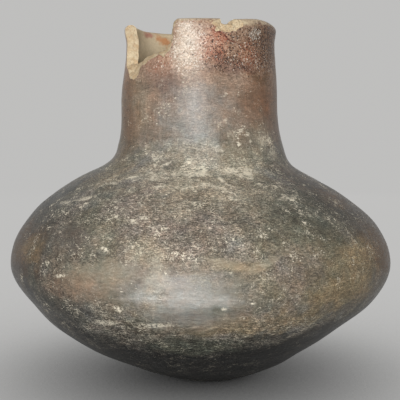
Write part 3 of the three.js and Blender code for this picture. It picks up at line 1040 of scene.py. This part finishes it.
class PotSkin:
    """The skin of the pot, the same from foot to lip so that it runs on over the joins.

    Its layers each take the colour so far and give back the colour with one more kind of mark."""

    def __init__(self, s, cloud):
        self.s = s
        self.cloud = cloud
        self.place, self.angle, self.height = place_on_piece(s)
        self.x, self.y, _ = s.split(self.place)
        self.run = s.times(s.add("ShaderNodeAttribute", out="Fac", attribute_name="run"), 1 / MM)
        # Strokes run round the pot, but wander up and down
        self.wander = s.plus(self.run, s.swing(self.field(11, 2, 0.5, 90), STROKE_WANDER))
        self.fray = self.field(9, 4, 0.62, 15)
        self.level = s.plus(self.height, s.swing(self.fray, LEVEL_FRAY))
        # Where the burnish is smooth: the neck below its worn top, and some of the girth
        self.top = s.span(s.plus(self.height, s.swing(self.fray, WORN_TOP_FRAY)), *WORN_TOP)
        foot = s.span(s.plus(self.height, s.swing(self.fray, NECK_FOOT_FRAY)), *NECK_FOOT)
        self.on_neck = s.times(foot, s.minus(1.0, self.top))
        self.smooth = self.cover(SMOOTH)
        calm = s.most(s.times(self.on_neck, NECK_CALM), s.times(self.smooth, GIRTH_CALM))
        self.lively = s.minus(1.0, calm)
        self.blotches = self.field(11, 5, 0.72, 5)
        self.grain = self.along_wall(1.6, 0.42, 25)
        self.strokes = self.along_wall(6, 0.9)
        self.patchy = s.swing(self.field(9, 5, 0.7, 60), PATCHY_SWING)

    def field(self, size, detail, roughness, shift):
        """Noise in patches of a size in millimetres, shifted to lie apart from the other noises."""
        moved = self.s.vector("ADD", self.place, [shift * part for part in SHIFT_WAY])
        return self.s.noise(moved, 1 / size, detail, roughness)

    def along_wall(self, length, width, shift=0.0, detail=2.0, roughness=0.6, wanders=True):
        """Noise drawn out round the pot, for strokes that follow the burnishing."""
        s = self.s
        x, y = (s.math("DIVIDE", part, length) for part in (self.x, self.y))
        up = s.math("MULTIPLY_ADD", self.wander if wanders else self.run, 1 / width, shift)
        return s.noise(s.combine(x, y, up), 1.0, detail, roughness)

    def flecks(self, pattern, edge, reach):
        """Marks that lie along the wall and brighten with how far a ragged noise rises over an edge."""
        return self.s.span(self.s.minus(self.along_wall(*pattern), edge), 0.0, reach, smooth=False)

    def curls(self, size, shift):
        """Short thin curls: stretches of the lines where a noise crosses its middle."""
        s = self.s
        far = s.math("ABSOLUTE", s.minus(self.field(size, 1, 0.6, shift), NOISE_MIDDLE))
        stretches = s.span(self.field(CURL_STRETCH, 1, 0.5, shift + 20), *CURL_STRETCHES)
        return s.times(s.span(far, *CURL_WIDTH), stretches)

    def share(self, sizes, fray=None):
        return cloud_share(self.s, self.cloud, self.angle, self.height, fray or self.fray, sizes)

    def cover(self, clouds, fray=None):
        """The strongest of several clouds."""
        s = self.s
        return s.most(*(s.times(self.share(sizes, fray), strength) for strength, *sizes in clouds))

    def body(self):
        """The fired body, warm on the neck and sooty and darker towards the foot, partly as painted shade,
        with its stains, some of them painted highlights and shade.
        """
        s = self.s
        colour = paint(WARM_GREY)
        for code, strength, size, detail, roughness, shift, low, high in BODY_TINTS:
            share = s.span(self.field(size, detail, roughness, shift), low, high)
            colour = s.blend(s.times(share, strength), colour, paint(code))
        for code, low, high in LEVEL_TINTS:
            colour = s.blend(s.span(self.level, low, high), colour, paint(code))
        for code, strength, *sizes in STAINS:
            colour = s.blend(s.times(self.share(sizes), strength), colour, paint(code))
        # Small shifts between a redder and a bluer clay
        tinge = s.minus(self.field(5, 4, 0.65, 120), NOISE_MIDDLE)
        red, blue = (s.doublings(s.times(tinge, swing)) for swing in (RED_SWING, BLUE_SWING))
        return s.vector("MULTIPLY", colour, s.combine(red, 1.0, blue))

    def tone(self, colour):
        """Grain, blotches and burnishing strokes, which make the colour brighter or darker."""
        s = self.s
        mottle = self.field(2.4, 3, 0.7, 35)
        fine = self.field(0.6, 2, 0.7, 65)
        speckle = s.plus(
            s.swing(self.blotches, BLOTCH_SWING),
            s.swing(self.grain, GRAIN_SWING),
            s.swing(mottle, MOTTLE_SWING),
            s.swing(fine, FINE_SWING),
        )
        top_share = s.span(self.top, 0.0, 1.0, 1.0, TOP_SPECKLE)
        speckle = s.times(speckle, self.lively, top_share, s.span(self.level, *LOW_SPECKLE))
        drawn = s.swing(self.strokes, s.span(self.level, *LOW_STROKES))
        broad = s.swing(self.along_wall(24, 4, 7, wanders=False), BROAD_SWING)
        upright = s.noise(s.vector("MULTIPLY", self.place, UPRIGHT_WAVES), 1.0, 2.0, 0.6)
        streaky = s.span(self.field(12, 2, 0.5, 70), *STREAKS)
        upright = s.times(s.swing(upright, UPRIGHT_SWING), s.times(self.on_neck, streaky))
        return s.shade(colour, s.doublings(s.plus(speckle, drawn, broad, upright, TONE_SHIFT)))

    def earth(self, colour):
        """Pale earth left in the scratches and pits, thickest at the foot of the neck."""
        s = self.s
        thickness = s.plus(
            s.times(self.cover(EARTH), EARTH_THICKNESS),
            self.patchy,
            s.times(self.smooth, SMOOTH_THICKNESS),
            s.times(self.on_neck, NECK_THICKNESS),
        )
        thickness = s.minus(thickness, s.times(self.top, TOP_THINNESS))
        marks = []
        for pattern, edge, give, reach, _ in EARTH_MARKS:
            marks.append(self.flecks(pattern, s.minus(edge, s.times(thickness, give)), reach))
        self.dabs = marks[0]
        worn = [s.times(mark, strength) for mark, (*_, strength) in zip(marks, EARTH_MARKS)]
        curls = s.most(*(self.curls(size, shift) for size, shift in CURLS))
        curl_areas = s.span(s.plus(self.field(6, 4, 0.65, 33), thickness), *CURL_AREAS)
        self.cuts = s.times(curls, curl_areas, self.lively)
        worn.append(s.times(self.cuts, CURL_STRENGTH))
        lumps = self.cover(LUMPS, self.field(2.2, 3, 0.75, 140))
        lumps = s.times(lumps, s.span(self.field(1.2, 3, 0.75, 160), *LUMP_GRAIN))
        self.worn = s.most(s.times(s.most(*worn), s.span(self.height, *LOW_EARTH)), lumps)
        return s.blend(self.worn, colour, paint(CREAM))

    def soot(self, colour):
        """Dark marks where soot stays in the scratches."""
        s = self.s
        pattern, edge, give, reach, strength = SOOT_MARKS
        marks = self.flecks(pattern, s.plus(edge, s.times(self.patchy, give)), reach)
        return s.blend(s.times(marks, self.lively, strength), colour, paint(CHARCOAL))

    def spalled_top(self, colour):
        """The worn top of the neck: the slip has spalled, and pale, red and dark clay show in grains."""
        s = self.s
        covers = {code: self.cover(clouds) for code, clouds, _ in SPECKS}
        white, red, dark = (covers[code] for code in (SPECK_WHITE, SPECK_RED, SPECK_DARK))
        grainy = s.plus(
            self.field(1.0, 2, 0.65, 55), s.times(white, WHITE_SHIFT), s.times(dark, DARK_SHIFT)
        )
        redness = s.times(red, GRAIN_REDNESS)
        deep = s.blend(redness, paint(DEEP_PINK), paint(SPECK_RED))
        pale = s.blend(redness, s.blend(white, paint(BUFF), paint(PALE_PINK)), paint(ROSE))
        grains = s.blend(s.span(grainy, *PALE_GRAINS), deep, pale)
        share = s.math("MULTIPLY_ADD", white, GRAIN_SHARE_IN_WHITE, GRAIN_SHARE)
        colour = s.blend(s.times(self.top, share), colour, grains)
        shaken = s.vector("ADD", self.place, s.noise(self.place, SPECK_SHAKE, out="Color"))
        chances = [s.split(s.cells(shaken, scale, out="Color")) for scale in SPECK_SCALES]
        for kind, (code, _, strength) in enumerate(SPECKS):
            chance = s.most(*(parts[kind] for parts in chances))
            likely = s.math("MULTIPLY_ADD", covers[code], SPECK_CHANCE_IN_CLOUD, SPECK_CHANCE)
            edge = s.minus(1.0, s.times(likely, self.top))
            marks = s.span(s.minus(chance, edge), 0.0, SPECK_REACH, smooth=False)
            colour = s.blend(s.times(marks, strength), colour, paint(code))
            if code == SPECK_DARK:
                self.pits = marks
        return colour

    def lip(self, colour):
        """The crack below the flake scar, and bare clay along the worn crest of the lip."""
        s = self.s
        colour = s.blend(self.cover(CRACKS), colour, paint(CRACK_RED))
        fray = s.swing(self.field(2.6, 3, 0.65, 21), CREST_FRAY)
        crest = s.times(s.span(s.plus(self.height, fray), *CREST), CREST_STRENGTH)
        return s.blend(s.most(crest, self.share(CREST_SCAR)), colour, paint(BARE_CLAY))

    def relief(self):
        """How far the marks stand out of the skin or lie in it."""
        s = self.s
        parts = (
            (self.strokes, 0.5),
            (self.grain, 0.6),
            (self.blotches, 0.8),
            (self.cuts, -0.4),
            (self.pits, -0.8),
            (self.dabs, 0.3),
        )
        return s.plus(*(s.times(marks, depth) for marks, depth in parts))


def skin_group(cloud):
    """The node group of the pot's skin, which the materials of its outside share."""
    tree = bpy.data.node_groups.new("pot_skin", "ShaderNodeTree")
    for socket, kind in (("Colour", "Color"), ("Worn", "Float"), ("Relief", "Float"), ("Strokes", "Float")):
        tree.interface.new_socket(socket, in_out="OUTPUT", socket_type="NodeSocket" + kind)
    skin = PotSkin(Steps(tree), cloud)
    colour = skin.body()
    for add_layer in (skin.tone, skin.earth, skin.soot, skin.spalled_top, skin.lip):
        colour = add_layer(colour)
    end = tree.nodes.new("NodeGroupOutput")
    for socket, value in zip(end.inputs, (colour, skin.worn, skin.relief(), skin.strokes)):
        tree.links.new(value, socket)
    return tree


SKIN_ROUGHNESS = 0.34
SKIN_SPECULAR = 0.2
WORN_DULLNESS = 0.3
STROKE_DULLNESS = 0.35
SKIN_RELIEF = 0.12


def skin_material(name, group):
    """The pot's outer skin, glossy where it is burnished and dull where it is worn."""
    material, s, shader = plain_material(name, SKIN_ROUGHNESS, SKIN_SPECULAR)
    node = s.tree.nodes.new("ShaderNodeGroup")
    node.node_tree = group
    colour, worn, relief, strokes = node.outputs[:4]
    dull = s.plus(s.times(worn, WORN_DULLNESS), s.swing(strokes, STROKE_DULLNESS))
    roughness = s.math("ADD", dull, SKIN_ROUGHNESS, clamp=True)
    s.tree.links.new(roughness, shader.inputs["Roughness"])
    finish_material(s, shader, colour, relief, SKIN_RELIEF)
    return material


def inside_material(cloud):
    """The wiped inside, grey-beige and dull, with stains by the broken lip."""
    material, s, shader = plain_material("inside_clay", roughness=0.8, specular=0.3)
    place, angle, height = place_on_piece(s)
    patches = s.span(s.noise(place, 1 / 16, 3.0, 0.6), 0.35, 0.65)
    colour = s.blend(patches, paint(INSIDE_GREY), paint(INSIDE_PALE))
    fray = s.noise(place, 0.3, 4.0, 0.65)
    for code, strength, *sizes in INSIDE_STAINS:
        share = cloud_share(s, cloud, angle, height, fray, sizes)
        colour = s.blend(s.times(share, strength), colour, paint(code))
    grain = s.noise(place, 1.0, 3.0, 0.7)
    colour = s.shade(colour, s.math("MULTIPLY_ADD", grain, 0.5, 0.75))
    finish_material(s, shader, colour, grain, depth=0.15)
    return material


# Grit in the broken clay: its scale, its edge and middle, and its colours with the least chance of each
GRIT_SCALE = 1.3
GRIT_EDGE = (0.36, 0.2)
GRIT_COLOURS = ((GRIT_DARK, 0.86), (GRIT_RED, 0.8))
GRIT_STRENGTH = 0.7


def broken_material():
    """Bare fired clay where the wall is broken: cream, gritty and quite dull."""
    material, s, shader = plain_material("broken_clay", roughness=0.92, specular=0.2)
    place, _, _ = place_on_piece(s)
    patches = s.span(s.noise(place, 0.3, 3.0, 0.65), 0.36, 0.66)
    colour = s.blend(patches, paint(BARE_CLAY), paint(BARE_DEEP))
    grit = s.span(s.cells(place, GRIT_SCALE, out="Distance"), *GRIT_EDGE)
    chances = s.split(s.cells(place, GRIT_SCALE, out="Color"))
    grain = s.noise(place, 1.5, 3.0, 0.7)
    colour = s.shade(colour, s.math("MULTIPLY_ADD", grain, 0.7, 0.65))
    for chance, (code, least) in zip(chances, GRIT_COLOURS):
        marks = s.times(grit, s.span(chance, least, least + 0.05))
        colour = s.blend(s.times(marks, GRIT_STRENGTH), colour, paint(code))
    finish_material(s, shader, colour, s.plus(grain, s.times(grit, 0.4)), depth=0.3)
    return material


# The room, in metres and watts

PALE = (1.0, 0.995, 0.98, 1.0)
BACKDROP_GLOW = 0.52
FLOOR_UNSEEN = "#0d0d0d"
FLOOR_SIZE = 16
FLOOR_SHADE_REACH = 0.35
FLOOR_SHADE_SAMPLES = 8
AMBIENT = 0.09
LAMP_AIM = (0, 0, 0.09)
# Each lamp's place, size, power, and whether it shows in the burnish
LAMPS = {
    "key": ((-0.07, -0.60, 0.125), 0.26, 4.4, True),
    "top": ((-0.05, -0.30, 0.80), 0.5, 1.3, False),
    "back": ((0.05, 1.2, 0.30), 0.4, 10, False),
    "left": ((-0.85, 0.6, 0.45), 0.5, 3.5, False),
    "right": ((0.85, 0.6, 0.45), 0.5, 3.5, False),
}


def seen(s):
    """1 where the camera, a reflection or clear material looks, and 0 for the light that falls."""
    path = s.tree.nodes.new("ShaderNodeLightPath").outputs
    return s.most(path["Is Camera Ray"], path["Is Glossy Ray"], path["Is Transmission Ray"])


def make_floor():
    """A pale floor that glows as the backdrop does, less where the pot keeps the studio's light off it."""
    bpy.ops.mesh.primitive_plane_add(size=FLOOR_SIZE)
    floor = bpy.context.object
    floor.name = "floor"
    material, s, shader = plain_material("pale_floor", roughness=1.0, specular=0.0)
    shader.inputs["Base Color"].default_value = paint(FLOOR_UNSEEN)
    shader.inputs["Emission Color"].default_value = PALE
    reach = {"Distance": FLOOR_SHADE_REACH}
    open_sky = s.add("ShaderNodeAmbientOcclusion", reach, out="AO", samples=FLOOR_SHADE_SAMPLES)
    glow = s.times(seen(s), open_sky, BACKDROP_GLOW)
    s.tree.links.new(glow, shader.inputs["Emission Strength"])
    floor.data.materials.append(material)


def make_world():
    """A backdrop as pale as the floor, which lights the pot only a little."""
    world = bpy.data.worlds.new("studio")
    world.use_nodes = True
    s = Steps(world.node_tree)
    backdrop = world.node_tree.nodes["Background"]
    backdrop.inputs["Color"].default_value = PALE
    strength = s.math("MULTIPLY_ADD", seen(s), BACKDROP_GLOW - AMBIENT, AMBIENT)
    s.tree.links.new(strength, backdrop.inputs["Strength"])
    bpy.context.scene.world = world


def add_lamp(name, place, size, power, glossy):
    light = bpy.data.lights.new(name, "AREA")
    light.shape = "RECTANGLE"
    light.size = size
    light.size_y = size
    light.energy = power
    lamp = new_object(name, light)
    lamp.location = place
    lamp.rotation_euler = (Vector(LAMP_AIM) - Vector(place)).to_track_quat("-Z", "Y").to_euler()
    lamp.visible_camera = False
    lamp.visible_glossy = glossy


# The camera: its place in metres, its pitch in degrees, and its focal length and sensor in millimetres

CAMERA_PLACE = (0, -0.43, 0.124912)
CAMERA_PITCH = 4.842
CAMERA_FOCAL = 76.19
CAMERA_SENSOR = 36
CAMERA_NEAR = 0.01


def make_camera():
    camera = new_object("camera", bpy.data.cameras.new("camera"))
    camera.data.lens = CAMERA_FOCAL
    camera.data.sensor_width = CAMERA_SENSOR
    camera.data.clip_start = CAMERA_NEAR
    camera.location = CAMERA_PLACE
    camera.rotation_euler = (math.radians(90 - CAMERA_PITCH), 0, 0)
    bpy.context.scene.camera = camera


# The slots of the outside, each with its number of courses, from the foot up
# The lowest slot's darkness towards the foot is partly soot, partly painted shade
OUTSIDE_SLOTS = (("sooty_clay", 3), ("burnished_clay", 5), ("neck_clay", 3), ("worn_clay", 1))
DAMAGED = ("neck_coil_2", "rim_coil")
# Edges that turn by more degrees than this look sharp
SHARP_EDGE = 40

make_camera()
make_world()
make_floor()
for name, (place, size, power, glossy) in LAMPS.items():
    add_lamp(name, place, size, power, glossy)

cloud = cloud_group()
pot_skin = skin_group(cloud)
inside_clay = inside_material(cloud)
broken_clay = broken_material()
skins = {slot: skin_material(slot, pot_skin) for slot, _ in OUTSIDE_SLOTS}
slots = [slot for slot, count in OUTSIDE_SLOTS for _ in range(count)]

tree = course_tree()
noise.seed_set(BREAK_SEED)
cutters = [
    break_cutter("sherd_break", SHERD_BREAK),
    break_cutter("rim_notch", RIM_NOTCH),
    scar_cutter("flake_scar"),
]
for (name, low, high), slot in zip(COURSES, slots):
    piece = lay_course(tree, name, low, high, skins[slot], inside_clay)
    handle(piece.data)
    if name in DAMAGED:
        piece.data.materials.append(broken_clay)
        piece = cut_away(piece, cutters)
    piece.data.set_sharp_from_angle(angle=math.radians(SHARP_EDGE))
    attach(piece, "root")
    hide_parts(name)
for cutter in cutters:
    bpy.data.objects.remove(cutter)

scene = bpy.context.scene
scene.view_settings.view_transform = "Standard"
